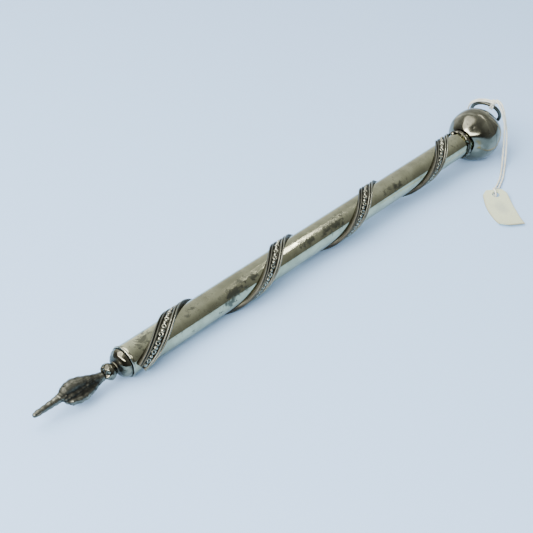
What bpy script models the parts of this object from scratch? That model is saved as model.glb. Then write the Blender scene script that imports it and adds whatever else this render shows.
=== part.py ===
"""A silver reading pointer (yad): a round tube with a helical applied band, a small cast hand
with a pointing finger at one end, a hollow ball with a hanging ring at the other, and a paper
tag on a string tied to the ring.

Metres, +Z up. The pointer lies along X on the surface z = 0, its finger towards -X, resting on
the wire round its front cap and on its ball, so that its axis rises by about 1.6 degrees
towards +X. Stations along the axis are measured from the front end of the tube and are
negative towards the finger.
"""

from math import asin, cos, exp, pi, radians, sin, sqrt

import bmesh
import bpy
from mathutils import Matrix, Vector

# ---------------------------------------------------------------- driving dimensions
TUBE_RADIUS = 0.0050
TUBE_WALL = 0.0005
TUBE_START = 0.00035
TUBE_END = 0.1815

BALL_RADIUS = 0.0106
BALL_WALL = 0.0006
BALL_STATION = 0.1882

RIM_WIRE_RADIUS = 0.00033
RIM_WIRE_STATION = -0.0001
RIM_RADIUS = 0.00505
RIM_OUTSIDE = RIM_RADIUS + RIM_WIRE_RADIUS

FINGER_TIP_STATION = -0.0336
CAP_FRONT = -0.0035
BORE_RADIUS = 0.0012
TANG_RADIUS = 0.0009
TANG_END = 0.0016

BAND_PITCH = 0.04776
BAND_START = 0.0023
BAND_END = 0.1735
BAND_START_ROLL = radians(99.2)
BAND_EASE = 0.0055
BAND_EASE_RUN = 0.025
BAND_FLOOR = TUBE_RADIUS + 0.00012
BAND_STRIP_THICK = 0.00030
BAND_WIRE_WIDTH = 0.00068
BAND_WIRE_HEIGHT = 0.00080
BAND_BEAD_WIDTH = 0.00170
BAND_BEAD_HEIGHT = 0.00078
BAND_STRIP_FACETS = 4
BAND_GAP = 0.00008
BAND_BED_GAP = 0.00014

HAND_ROLL = radians(46.5)

EYE_WIRE_RADIUS = 0.0005
EYE_LOOP_RADIUS = 0.00165
RING_WIRE_RADIUS = 0.00075
RING_RADIUS = 0.0060
BUTTON_FRONT = BALL_STATION + BALL_RADIUS + 0.0001
BUTTON_THICK = 0.0011
EYE_ROLL = radians(-30)
HINGE_STATION = BUTTON_FRONT + BUTTON_THICK + 0.0001 + EYE_LOOP_RADIUS + EYE_WIRE_RADIUS

TAG_WIDTH = 0.0094
TAG_LENGTH = 0.0235
TAG_THICK = 0.00035
TAG_HOLE_RADIUS = 0.0015
TAG_HOLE_INSET = 0.0026
TAG_HEADING = radians(-127)
STRING_DIAMETER = 0.0008
STRAND_SPACING = 0.00115

CONTACT_GAP = 0.0003
SEGMENTS = 32
BAND_STEP = radians(15)

# ---------------------------------------------------------------- the shaft's place at rest
FLAT = cos(pi / SEGMENTS)
TILT = asin((BALL_RADIUS - RIM_OUTSIDE) * FLAT / (BALL_STATION - RIM_WIRE_STATION))
REAR_END = HINGE_STATION + EYE_LOOP_RADIUS + EYE_WIRE_RADIUS
MIDDLE = (FINGER_TIP_STATION + REAR_END) / 2
AXIS_ORIGIN = Vector((-MIDDLE * cos(TILT), 0, RIM_OUTSIDE * FLAT * cos(TILT)))


def on_axis(station):
    """The point of the pointer's axis at a station."""
    return AXIS_ORIGIN + station * Vector((cos(TILT), 0, sin(TILT)))


HINGE = on_axis(HINGE_STATION)


def rolled(vector, roll):
    """A vector turned about the pointer's axis; a positive roll takes +Z towards -Y."""
    along = Vector((cos(TILT), 0, sin(TILT)))
    across = along.cross(vector)
    inline = along * along.dot(vector)
    return inline + (vector - inline) * cos(roll) + across * sin(roll)


# ---------------------------------------------------------------- scene and helpers
def clear_scene():
    for obj in list(bpy.data.objects):
        bpy.data.objects.remove(obj, do_unlink=True)


def material(name, colour, roughness, metallic):
    mat = bpy.data.materials.new(name)
    mat.use_nodes = True
    shader = mat.node_tree.nodes["Principled BSDF"]
    shader.inputs["Base Color"].default_value = (*colour, 1)
    shader.inputs["Roughness"].default_value = roughness
    shader.inputs["Metallic"].default_value = metallic
    mat.diffuse_color = (*colour, 1)
    return mat


def add_object(name, data, mat, parent=None):
    obj = bpy.data.objects.new(name, data)
    data.materials.append(mat)
    bpy.context.collection.objects.link(obj)
    obj.parent = parent
    return obj


def mesh_from_bmesh(name, bm):
    bmesh.ops.recalc_face_normals(bm, faces=bm.faces)
    mesh = bpy.data.meshes.new(name)
    bm.to_mesh(mesh)
    bm.free()
    mesh.shade_smooth()
    mesh.set_sharp_from_angle(angle=radians(35))
    return mesh


def bridge_rings(bm, rings, closed=False):
    """Joins rings of vertices that all have the same number of points with quads."""
    pairs = list(zip(rings, rings[1:]))
    if closed:
        pairs.append((rings[-1], rings[0]))
    for ring, following in pairs:
        count = len(ring)
        for i in range(count):
            j = (i + 1) % count
            bm.faces.new((ring[i], ring[j], following[j], following[i]))


def turned_mesh(name, profile):
    """A solid of revolution round local X. The profile is a closed outline of (station, radius)
    points; where it starts and ends on the axis it is an open line from pole to pole."""
    bm = bmesh.new()
    on_pole = profile[0][1] == 0 and profile[-1][1] == 0
    body = profile[1:-1] if on_pole else profile
    rings = []
    for station, radius in body:
        ring = []
        for k in range(SEGMENTS):
            angle = 2 * pi * (k + 0.5) / SEGMENTS
            ring.append(bm.verts.new((station, radius * cos(angle), radius * sin(angle))))
        rings.append(ring)
    bridge_rings(bm, rings, closed=not on_pole)
    if on_pole:
        for (station, _), ring in ((profile[0], rings[0]), (profile[-1], rings[-1])):
            pole = bm.verts.new((station, 0, 0))
            for i in range(SEGMENTS):
                bm.faces.new((ring[i], ring[(i + 1) % SEGMENTS], pole))
    return mesh_from_bmesh(name, bm)


def arc(centre, radius_u, radius_r, start, end, count):
    """Profile points on an elliptical arc; angles from the +station direction, in degrees."""
    points = []
    for k in range(count + 1):
        angle = radians(start + (end - start) * k / count)
        points.append((centre[0] + radius_u * cos(angle), centre[1] + radius_r * sin(angle)))
    return points


def torus_mesh(name, ring_radius, wire_radius, around, across):
    """A closed wire ring in the local XY plane."""
    bm = bmesh.new()
    rings = []
    for k in range(around):
        angle = 2 * pi * k / around
        ring = []
        for m in range(across):
            turn = 2 * pi * (m + 0.5) / across
            reach = ring_radius + wire_radius * cos(turn)
            ring.append(
                bm.verts.new((reach * cos(angle), reach * sin(angle), wire_radius * sin(turn)))
            )
        rings.append(ring)
    bridge_rings(bm, rings, closed=True)
    return mesh_from_bmesh(name, bm)


def apply_union(target, other):
    """Joins another closed solid to the target and removes it."""
    modifier = target.modifiers.new("union", "BOOLEAN")
    modifier.operation = "UNION"
    modifier.solver = "EXACT"
    modifier.object = other
    bpy.context.view_layer.update()
    evaluated = target.evaluated_get(bpy.context.evaluated_depsgraph_get())
    mesh = bpy.data.meshes.new_from_object(evaluated)
    target.modifiers.clear()
    target.data = mesh
    bpy.data.objects.remove(other, do_unlink=True)


# ---------------------------------------------------------------- front end
def hand_outline(station):
    """Top, bottom and half width of the hand at a station, in metres from the axis: the back
    of the hand is the top, the curled fingers are the bottom."""
    table = (
        (-33.35, 1.90, -0.55, 0.62),
        (-33.0, 2.15, -0.35, 0.85),
        (-31.0, 2.25, -0.25, 0.95),
        (-28.0, 2.30, -0.18, 1.00),
        (-25.0, 2.50, -0.05, 1.15),
        (-23.8, 2.75, 0.30, 1.35),
        (-22.6, 3.20, 1.20, 2.00),
        (-21.2, 4.10, 2.20, 2.60),
        (-19.6, 4.65, 2.85, 2.95),
        (-17.8, 4.60, 3.15, 3.00),
        (-16.0, 4.15, 3.10, 2.85),
        (-14.2, 3.50, 2.75, 2.50),
        (-12.6, 2.80, 2.25, 2.10),
        (-11.2, 2.20, 1.80, 1.75),
        (-10.0, 1.75, 1.55, 1.55),
        (-8.75, 1.45, 1.45, 1.40),
    )
    for row, after in zip(table, table[1:]):
        if row[0] <= station <= after[0]:
            share = (station - row[0]) / (after[0] - row[0])
            return [a + (b - a) * share for a, b in zip(row[1:], after[1:])]
    return list(table[-1][1:])


HAND_STATIONS = (-33.35, -33.0, -31.0, -28.0, -25.0, -23.8, -22.6, -21.9, -21.2, -20.4, -19.6,
                 -18.7, -17.8, -16.9, -16.0, -15.1, -14.2, -13.4, -12.6, -11.9, -11.2, -10.6,
                 -10.0, -8.75)
HAND_POINTS = 20
GROOVE_DEPTH = 0.16


def hand_ring(bm, station):
    """One cross-section of the hand, waisted where the thumb lies between palm and fingers."""
    top, bottom, half = hand_outline(station)
    centre = (top - bottom) / 2
    height = (top + bottom) / 2
    groove = GROOVE_DEPTH * max(0.0, 1 - ((station + 17.0) / 6.5) ** 2)
    ring = []
    for k in range(HAND_POINTS):
        angle = 2 * pi * k / HAND_POINTS
        waist = 1 - groove * abs(sin(angle)) ** 6
        along_top = (centre + height * cos(angle)) * 0.001
        sideways = half * sin(angle) * waist * 0.001
        ring.append(bm.verts.new((
            station * 0.001,
            along_top * sin(HAND_ROLL) - sideways * cos(HAND_ROLL),
            along_top * cos(HAND_ROLL) + sideways * sin(HAND_ROLL),
        )))
    return ring


def round_ring(bm, station, radius):
    ring = []
    for k in range(HAND_POINTS):
        angle = 2 * pi * k / HAND_POINTS
        along_top = radius * cos(angle)
        sideways = radius * sin(angle)
        ring.append(bm.verts.new((
            station,
            along_top * sin(HAND_ROLL) - sideways * cos(HAND_ROLL),
            along_top * cos(HAND_ROLL) + sideways * sin(HAND_ROLL),
        )))
    return ring


def make_hand(mat, parent):
    """The cast fist with its straight index finger and the tang behind its wrist."""
    bm = bmesh.new()
    rings = [hand_ring(bm, station) for station in HAND_STATIONS]
    rings.append(round_ring(bm, -0.00875, TANG_RADIUS))
    rings.append(round_ring(bm, TANG_END, TANG_RADIUS))
    bridge_rings(bm, rings)
    tip_height = 0.00125
    tip = bm.verts.new((
        FINGER_TIP_STATION, tip_height * sin(HAND_ROLL), tip_height * cos(HAND_ROLL)
    ))
    for i in range(HAND_POINTS):
        bm.faces.new((rings[0][i], rings[0][(i + 1) % HAND_POINTS], tip))
    bm.faces.new(rings[-1])
    return add_object("pointing_hand", mesh_from_bmesh("pointing_hand", bm), mat, parent)


def make_knob_bead(mat, parent):
    centre = -0.0063
    outer = arc((centre, 0), 0.0021, 0.0028, 30, 150, 6)
    profile = [(outer[-1][0], BORE_RADIUS)] + outer[::-1] + [(outer[0][0], BORE_RADIUS)]
    return add_object("knob_bead", turned_mesh("knob_bead", profile), mat, parent)


def make_bead_collar(mat, parent):
    front, back, radius = -0.0042, CAP_FRONT - 0.0001, 0.0021
    edge = arc(((front + back) / 2, radius - 0.0003), (back - front) / 2, 0.0003, 0, 180, 4)
    profile = [(front, BORE_RADIUS)] + edge[::-1] + [(back, BORE_RADIUS)]
    return add_object("bead_collar", turned_mesh("bead_collar", profile), mat, parent)


def make_front_cap(mat, parent):
    """The domed cap, hollow behind, with a sleeve that plugs into the tube."""
    lip_back = RIM_WIRE_STATION - RIM_WIRE_RADIUS - 0.0001
    wall = 0.0005
    sleeve = TUBE_RADIUS - TUBE_WALL - 0.0002
    dome = arc((-0.0007, 0.0018), 0.0027, 0.0030, 178, 100, 5)
    profile = [(CAP_FRONT, BORE_RADIUS), (CAP_FRONT, 0.0018)]
    profile += dome[1:]
    profile += [(-0.00095, 0.00490), (lip_back, 0.0050), (lip_back, sleeve), (0.0060, sleeve)]
    profile += [(0.0060, sleeve - wall), (-0.0008, sleeve - wall)]
    profile += arc((-0.0008, 0.0018), 0.0021, 0.0020, 110, 175, 3)
    profile += [(CAP_FRONT + wall, BORE_RADIUS)]
    return add_object("front_cap", turned_mesh("front_cap", profile), mat, parent)


def make_tang_washer(mat, parent):
    """The washer that the tang is soldered to, inside the cap."""
    profile = [(-0.0006, 0.0012), (-0.0006, 0.0030), (0.0001, 0.0030), (0.0001, 0.0012)]
    return add_object("tang_washer", turned_mesh("tang_washer", profile), mat, parent)


def make_cap_rim_wire(mat, parent):
    centre = (RIM_WIRE_STATION, RIM_RADIUS)
    profile = arc(centre, RIM_WIRE_RADIUS, RIM_WIRE_RADIUS, 0, 360, 8)[:-1]
    return add_object("cap_rim_wire", turned_mesh("cap_rim_wire", profile), mat, parent)


# ---------------------------------------------------------------- shaft
def make_tube(mat, parent):
    inner = TUBE_RADIUS - TUBE_WALL
    profile = [(TUBE_START, inner), (TUBE_START, TUBE_RADIUS)]
    profile += [(TUBE_END, TUBE_RADIUS), (TUBE_END, inner)]
    return add_object("shaft_tube", turned_mesh("shaft_tube", profile), mat, parent)


BAND_LEAD = sqrt(BAND_PITCH**2 + (2 * pi * TUBE_RADIUS) ** 2)
ACROSS_U = 2 * pi * TUBE_RADIUS / BAND_LEAD
ACROSS_ROLL = BAND_PITCH / BAND_LEAD / TUBE_RADIUS


def band_point(station, across, height):
    """A point of the helical band: across is measured square to its run, from its middle, and
    height from the band's floor. The roll is from +Z towards -Y and falls with the station,
    more slowly at the front, where the band runs flatter."""
    run = station - BAND_START
    wound = run - BAND_EASE * (1 - exp(-run / BAND_EASE_RUN))
    roll = BAND_START_ROLL - 2 * pi * wound / BAND_PITCH + across * ACROSS_ROLL
    radius = BAND_FLOOR + height
    return Vector((station + across * ACROSS_U, -radius * sin(roll), radius * cos(roll)))


def helical_mesh(name, section):
    """Sweeps a closed cross-section of (across, height) points along the band. The side walls
    are split along the diagonal that stays closest to the tube's round surface."""
    bm = bmesh.new()
    turn = 2 * pi * (BAND_END - BAND_START) / BAND_PITCH
    steps = round(turn / BAND_STEP)
    rings = []
    for k in range(steps + 1):
        station = BAND_START + (BAND_END - BAND_START) * k / steps
        rings.append([bm.verts.new(band_point(station, a, h)) for a, h in section])
    for ring, following in zip(rings, rings[1:]):
        for i in range(len(section)):
            j = (i + 1) % len(section)
            low, high = (i, j) if section[i][0] <= section[j][0] else (j, i)
            bm.faces.new((ring[low], ring[high], following[high]))
            bm.faces.new((ring[low], following[high], following[low]))
    bm.faces.new(rings[0])
    bm.faces.new(rings[-1])
    return mesh_from_bmesh(name, bm)


def half_round(middle, width, base, height):
    """A half-round wire's section: a flat base and three points over it."""
    half = width / 2
    return [
        (middle - half, base),
        (middle - 0.7 * half, base + 0.7 * height),
        (middle, base + height),
        (middle + 0.7 * half, base + 0.7 * height),
        (middle + half, base),
    ]


def make_band(plain_mat, bead_mat, parent):
    """The applied band: a flat strip that carries two wires, a beaded row and two more wires."""
    pitch = BAND_WIRE_WIDTH + BAND_GAP
    first = BAND_BEAD_WIDTH / 2 + BAND_GAP + BAND_WIRE_WIDTH / 2
    half = first + pitch + BAND_WIRE_WIDTH / 2
    across = [half * (2 * k / BAND_STRIP_FACETS - 1) for k in range(BAND_STRIP_FACETS + 1)]
    strip = [(a, 0) for a in across] + [(a, BAND_STRIP_THICK) for a in across[::-1]]
    add_object("band_strip", helical_mesh("band_strip", strip), plain_mat, parent)
    base = BAND_STRIP_THICK + BAND_BED_GAP
    wires = {
        "band_wire_front_outer": -first - pitch,
        "band_wire_front_inner": -first,
        "band_wire_rear_inner": first,
        "band_wire_rear_outer": first + pitch,
    }
    for name, middle in wires.items():
        section = half_round(middle, BAND_WIRE_WIDTH, base, BAND_WIRE_HEIGHT)
        add_object(name, helical_mesh(name, section), plain_mat, parent)
    section = half_round(0, BAND_BEAD_WIDTH, base, BAND_BEAD_HEIGHT)
    add_object("band_bead_row", helical_mesh("band_bead_row", section), bead_mat, parent)


# ---------------------------------------------------------------- far end
def make_ball_collar(mat, parent):
    inner = TUBE_RADIUS + 0.0001
    centre = 0.1765
    outer = arc((centre, inner + 0.0002), 0.0008, 0.0007, 0, 180, 4)
    profile = [(centre - 0.0008, inner)] + outer[::-1] + [(centre + 0.0008, inner)]
    return add_object("ball_collar", turned_mesh("ball_collar", profile), mat, parent)


def shell_profile(start, end, count):
    """The section of a spherical shell between two polar angles, in degrees."""
    centre = (BALL_STATION, 0)
    inner = BALL_RADIUS - BALL_WALL
    outside = arc(centre, BALL_RADIUS, BALL_RADIUS, start, end, count)
    inside = arc(centre, inner, inner, end, start, count)
    return outside + inside


def make_ball(mat, parent):
    """Two stamped half shells, soldered at their widest. The tube enters the front one."""
    mouth = TUBE_RADIUS + 0.0003
    front_edge = 180 - asin(mouth / (BALL_RADIUS - BALL_WALL)) * 180 / pi
    seam = 0.5
    rear_edge = asin(0.0010 / (BALL_RADIUS - BALL_WALL)) * 180 / pi
    front = turned_mesh("ball_front_half", shell_profile(front_edge, 90 + seam, 5))
    rear = turned_mesh("ball_rear_half", shell_profile(90 - seam, rear_edge, 7))
    add_object("ball_front_half", front, mat, parent)
    add_object("ball_rear_half", rear, mat, parent)


def make_finial_button(mat, parent):
    """The small turned boss on the ball's far pole, bored for the eye's shank."""
    bore = EYE_WIRE_RADIUS + 0.0002
    front, back = BUTTON_FRONT, BUTTON_FRONT + BUTTON_THICK
    profile = [
        (front, bore), (front, 0.0022), (front + 0.0003, 0.0026), (front + 0.0006, 0.0026),
        (back - 0.0002, 0.0020), (back, 0.0017), (back, bore),
    ]
    return add_object("finial_button", turned_mesh("finial_button", profile), mat, parent)


def make_ring_eye(mat, parent):
    """The eye that holds the ring: a closed loop standing upright on a shank."""
    mesh = torus_mesh("ring_eye", EYE_LOOP_RADIUS, EYE_WIRE_RADIUS, 20, 8)
    mesh.transform(Matrix.Rotation(pi / 2, 4, "X"))
    eye = add_object("ring_eye", mesh, mat)
    shank_start = 0.1960 - HINGE_STATION
    shank_end = -EYE_LOOP_RADIUS
    bm = bmesh.new()
    length = shank_end - shank_start
    bmesh.ops.create_cone(
        bm, cap_ends=True, segments=8, radius1=EYE_WIRE_RADIUS, radius2=EYE_WIRE_RADIUS,
        depth=length,
        matrix=Matrix.Translation(((shank_start + shank_end) / 2, 0, 0))
        @ Matrix.Rotation(pi / 2, 4, "Y") @ Matrix.Rotation(pi / 8, 4, "Z"),
    )
    shank = add_object("ring_eye_shank", mesh_from_bmesh("ring_eye_shank", bm), mat)
    apply_union(eye, shank)
    eye.parent = parent
    eye.location = (HINGE_STATION, 0, 0)
    eye.rotation_euler = (EYE_ROLL, 0, 0)
    return eye


def ring_lean():
    """How far the ring leans back from upright when the string lies between it and the ball."""
    reach = 2 * RING_RADIUS
    away = HINGE_STATION - BALL_STATION
    clear = BALL_RADIUS + STRING_DIAMETER + 2 * CONTACT_GAP + RING_WIRE_RADIUS
    return asin((away**2 + reach**2 - clear**2) / (2 * away * reach)) - TILT


RING_LEAN = ring_lean()
RING_OUTWARD = rolled(Vector((-sin(RING_LEAN), 0, cos(RING_LEAN))), EYE_ROLL)
RING_NORMAL = rolled(Vector((cos(RING_LEAN), 0, sin(RING_LEAN))), EYE_ROLL)
HINGE_AXIS = rolled(Vector((0, 1, 0)), EYE_ROLL)


def make_suspension_ring(mat, hinge):
    """The round wire ring. Its origin is on the hinge axis, where its wire passes the eye."""
    mesh = torus_mesh("suspension_ring", RING_RADIUS, RING_WIRE_RADIUS, 28, 8)
    mesh.transform(Matrix.Translation((RING_RADIUS, 0, 0)))
    ring = add_object("suspension_ring", mesh, mat, hinge)
    ring_axes = Matrix((RING_OUTWARD, HINGE_AXIS, RING_OUTWARD.cross(HINGE_AXIS)))
    ring.matrix_local = ring_axes.transposed().to_4x4()
    return ring


# ---------------------------------------------------------------- string and tag
KNOT_ROLL = radians(60)


def ring_wire_point(roll):
    """The middle of the ring's wire, roll measured from its top towards -Y."""
    centre = HINGE + RING_RADIUS * RING_OUTWARD
    return centre + RING_RADIUS * (cos(roll) * RING_OUTWARD - sin(roll) * HINGE_AXIS)


def knot_direction():
    """Straight out from the ring's wire, in the ring's plane, at the knot."""
    return cos(KNOT_ROLL) * RING_OUTWARD - sin(KNOT_ROLL) * HINGE_AXIS


def make_string_knot(mat, hinge):
    """The hitch round the ring's wire with the knot that closes it."""
    across = 0.0004
    hitch_radius = RING_WIRE_RADIUS + CONTACT_GAP + across
    wire_point = ring_wire_point(KNOT_ROLL)
    outward = knot_direction()
    along_wire = outward.cross(RING_NORMAL)
    turn = Matrix((outward, RING_NORMAL, along_wire)).transposed().to_4x4()
    hitch = torus_mesh("string_knot", hitch_radius, across, 16, 8)
    hitch.transform(Matrix.Translation(wire_point) @ turn)
    knot = add_object("string_knot", hitch, mat)
    bm = bmesh.new()
    bmesh.ops.create_icosphere(bm, subdivisions=2, radius=1)
    lump = add_object("string_knot_lump", mesh_from_bmesh("string_knot_lump", bm), mat)
    middle = wire_point + (hitch_radius + 0.0010) * outward
    size = Matrix.Diagonal((0.00125, 0.0011, 0.0011, 1))
    lump.data.transform(Matrix.Translation(middle) @ turn @ size)
    apply_union(knot, lump)
    knot.data.transform(Matrix.Translation(-HINGE))
    knot.parent = hinge
    return knot, middle


def tag_frame():
    """The tag's own axes: along its length away from the string, and across it."""
    along = Vector((cos(TAG_HEADING), sin(TAG_HEADING), 0))
    return along, Vector((-along.y, along.x, 0))


TAG_HEAD = HINGE + Vector((-0.0340, -0.0234, -HINGE.z))
TAG_RAISED = 0.0019


def tag_height(along):
    """The underside of the curled tag: raised where the string passes under it, flat on the
    surface past its middle, and lifted a little at its far end."""
    share = along / TAG_LENGTH
    near = max(0.0, 1 - share / 0.55)
    far = max(0.0, (share - 0.7) / 0.3)
    return 0.00005 + TAG_RAISED * near**2 + 0.0009 * far**2


def make_paper_tag(mat):
    """A slightly curled card with cut corners and a round hole at one end."""
    along, across = tag_frame()
    rows, columns = 14, 4
    bm = bmesh.new()
    layers = []
    for lift in (0, TAG_THICK):
        grid = []
        for i in range(rows + 1):
            share = i / rows
            trim = 1.0 - 0.32 * max(0.0, 1 - share * rows / 1.3)
            line = []
            for j in range(columns + 1):
                side = (j / columns - 0.5) * TAG_WIDTH * trim
                point = TAG_HEAD + share * TAG_LENGTH * along + side * across
                point.z = tag_height(share * TAG_LENGTH) + lift
                line.append(bm.verts.new(point))
            grid.append(line)
        layers.append(grid)
    low, high = layers
    for i in range(rows):
        for j in range(columns):
            for grid in layers:
                bm.faces.new((grid[i][j], grid[i + 1][j], grid[i + 1][j + 1], grid[i][j + 1]))
        for j in (0, columns):
            bm.faces.new((low[i][j], low[i + 1][j], high[i + 1][j], high[i][j]))
    for i in (0, rows):
        for j in range(columns):
            bm.faces.new((low[i][j], low[i][j + 1], high[i][j + 1], high[i][j]))
    tag = add_object("paper_tag", mesh_from_bmesh("paper_tag", bm), mat)
    hole = TAG_HEAD + TAG_HOLE_INSET * along
    bm = bmesh.new()
    bmesh.ops.create_cone(
        bm, cap_ends=True, segments=16, radius1=TAG_HOLE_RADIUS, radius2=TAG_HOLE_RADIUS,
        depth=0.01, matrix=Matrix.Translation((hole.x, hole.y, 0)),
    )
    punch = add_object("tag_punch", mesh_from_bmesh("tag_punch", bm), mat)
    modifier = tag.modifiers.new("hole", "BOOLEAN")
    modifier.operation = "DIFFERENCE"
    modifier.solver = "EXACT"
    modifier.object = punch
    bpy.context.view_layer.update()
    evaluated = tag.evaluated_get(bpy.context.evaluated_depsgraph_get())
    mesh = bpy.data.meshes.new_from_object(evaluated)
    tag.modifiers.clear()
    tag.data = mesh
    bpy.data.objects.remove(punch, do_unlink=True)
    return tag


# The two strands' common route from the knot to the tag's hole, from the ring's hinge, in mm.
ROUTE = (
    (-6.2, -5.1, 12.3),
    (-7.1, -7.7, 9.6),
    (-6.9, -9.2, 5.0),
    (-6.8, -10.0, 1.0),
    (-7.5, -10.9, -3.2),
    (-9.6, -12.5, -7.3),
    (-14.4, -15.4, -10.1),
    (-21.5, -19.2, -10.3),
    (-27.4, -21.6, -10.2),
    (-30.8, -22.9, -9.7),
)


def smooth_line(points, spacing):
    """Points a fixed distance apart on a Catmull-Rom curve through the given ones."""
    ends = [2 * points[0] - points[1], *points, 2 * points[-1] - points[-2]]
    dense = []
    for a, b, c, d in zip(ends, ends[1:], ends[2:], ends[3:]):
        for k in range(24):
            t = k / 24
            dense.append(0.5 * (
                2 * b + (c - a) * t + (2 * a - 5 * b + 4 * c - d) * t**2
                + (3 * b - a - 3 * c + d) * t**3
            ))
    dense.append(points[-1])
    total = sum((b - a).length for a, b in zip(dense, dense[1:]))
    count = round(total / spacing)
    line, walked, k = [dense[0]], 0.0, 0
    for i in range(1, count):
        goal = total * i / count
        while walked + (dense[k + 1] - dense[k]).length < goal:
            walked += (dense[k + 1] - dense[k]).length
            k += 1
        step = (dense[k + 1] - dense[k]).length
        line.append(dense[k].lerp(dense[k + 1], (goal - walked) / step))
    line.append(dense[-1])
    return line


def string_route(knot_middle):
    """From the knot down one strand, through the tag's hole from above, and back up beside it."""
    along, across = tag_frame()
    hole = TAG_HEAD + TAG_HOLE_INSET * along
    common = [HINGE + Vector(p) * 0.001 for p in ROUTE]
    outward = knot_direction()
    start = knot_middle + 0.0018 * outward
    middle = [start, *common]
    left, right = [], []
    for i, point in enumerate(middle):
        run = middle[min(i + 1, len(middle) - 1)] - middle[max(i - 1, 0)]
        side = Vector((-run.y, run.x, 0))
        if i == 0:
            side = Vector((1, 0, 0))
        side = side.normalized() * STRAND_SPACING / 2
        left.append(point + side)
        right.append(point - side)
    foot = Vector((hole.x, hole.y, 0))
    over = [foot + Vector((0, 0, z)) + a * along for a, z in ((-0.0027, 0.0027), (-0.0008, 0.0025))]
    inside = [foot + Vector((0, 0, 0.0014)) + 0.0003 * along]
    under = [foot + Vector((0, 0, z)) + a * along for a, z in ((-0.0005, 0.00052), (-0.0026, 0.00052))]
    return left + over + inside + under + right[::-1]


def make_string(mat, knot_middle):
    line = smooth_line(string_route(knot_middle), 2.2 * STRING_DIAMETER)
    curve = bpy.data.curves.new("tag_string", "CURVE")
    curve.dimensions = "3D"
    curve.bevel_depth = STRING_DIAMETER / 2
    curve.bevel_resolution = 2
    curve.use_fill_caps = True
    spline = curve.splines.new("POLY")
    spline.points.add(len(line) - 1)
    for point, place in zip(spline.points, line):
        point.co = (*place, 1)
    return add_object("tag_string", curve, mat)


# ---------------------------------------------------------------- the whole
def main():
    clear_scene()
    silver = material("silver", (0.60, 0.60, 0.55), 0.22, 1.0)
    dark_silver = material("dark_silver", (0.24, 0.24, 0.21), 0.42, 1.0)
    band_silver = material("band_silver", (0.34, 0.34, 0.30), 0.35, 1.0)
    paper = material("tag_paper", (0.80, 0.82, 0.72), 0.85, 0.0)
    cotton = material("string_cotton", (0.74, 0.76, 0.68), 0.9, 0.0)

    axis = bpy.data.objects.new("pointer_axis", None)
    bpy.context.collection.objects.link(axis)
    axis.location = AXIS_ORIGIN
    axis.rotation_euler = (0, -TILT, 0)
    hinge = bpy.data.objects.new("ring_hinge", None)
    bpy.context.collection.objects.link(hinge)
    hinge.location = HINGE

    make_hand(dark_silver, axis)
    make_knob_bead(silver, axis)
    make_bead_collar(silver, axis)
    make_front_cap(silver, axis)
    make_tang_washer(silver, axis)
    make_cap_rim_wire(silver, axis)
    make_tube(silver, axis)
    make_band(band_silver, silver, axis)
    make_ball_collar(silver, axis)
    make_ball(silver, axis)
    make_finial_button(silver, axis)
    make_ring_eye(silver, axis)
    make_suspension_ring(dark_silver, hinge)
    _, knot_middle = make_string_knot(cotton, hinge)
    make_string(cotton, knot_middle)
    make_paper_tag(paper)


main()
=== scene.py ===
"""The looks of a silver reading pointer (yad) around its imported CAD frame: a tarnished tube with
a beaded helical band, a cast pointing hand, a ball with a hanging ring, and a tag on a string.

Metres, +Z up, the CAD's own frame. Most shapes are made in millimetres along the pointer's axis,
whose stations count from the tube's front end, and are then put in place."""

from math import asin, cos, exp, pi, radians, sin, sqrt

import bmesh
import bpy
import numpy as np
from mathutils import Matrix, Vector, noise


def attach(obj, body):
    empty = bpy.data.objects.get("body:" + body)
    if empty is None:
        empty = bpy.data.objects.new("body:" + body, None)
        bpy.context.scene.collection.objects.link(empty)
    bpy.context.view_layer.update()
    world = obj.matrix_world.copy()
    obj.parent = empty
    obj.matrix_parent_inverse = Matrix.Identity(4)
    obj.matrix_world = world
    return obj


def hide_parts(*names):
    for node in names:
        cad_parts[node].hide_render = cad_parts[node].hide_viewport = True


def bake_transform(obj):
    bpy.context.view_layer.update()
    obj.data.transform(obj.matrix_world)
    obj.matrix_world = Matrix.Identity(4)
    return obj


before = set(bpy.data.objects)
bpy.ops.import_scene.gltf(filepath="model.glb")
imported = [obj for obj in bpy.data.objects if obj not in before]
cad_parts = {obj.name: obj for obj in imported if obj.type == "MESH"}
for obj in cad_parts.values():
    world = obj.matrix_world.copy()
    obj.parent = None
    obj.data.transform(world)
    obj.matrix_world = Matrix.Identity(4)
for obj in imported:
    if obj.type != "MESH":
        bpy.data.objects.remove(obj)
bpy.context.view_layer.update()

# ---------------------------------------------------------------- the pointer's own frame
MM = 0.001
TILT = radians(1.58089)
AXIS_ORIGIN = Vector((-0.0853675, 0, 0.00535206))
HINGE = Vector((0.116806, 0, 0.010932))
ON_AXIS = Matrix.Translation(AXIS_ORIGIN) @ Matrix.Rotation(-TILT, 4, "Y") @ Matrix.Scale(MM, 4)

# ---------------------------------------------------------------- camera
CAMERA_PLACE = Vector((-0.22655, -0.19274, 0.20794))
CAMERA_AZIMUTH = radians(-46.67)
CAMERA_ELEVATION = radians(35.42)
CAMERA_LENS = 68.42


def add_camera():
    camera = bpy.data.objects.new("camera", bpy.data.cameras.new("camera"))
    bpy.context.scene.collection.objects.link(camera)
    camera.data.lens = CAMERA_LENS
    camera.data.sensor_width = 36
    camera.data.clip_start = 0.01
    camera.location = CAMERA_PLACE
    camera.rotation_euler = (pi / 2 - CAMERA_ELEVATION, 0, CAMERA_AZIMUTH)
    bpy.context.scene.camera = camera


add_camera()


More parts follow.
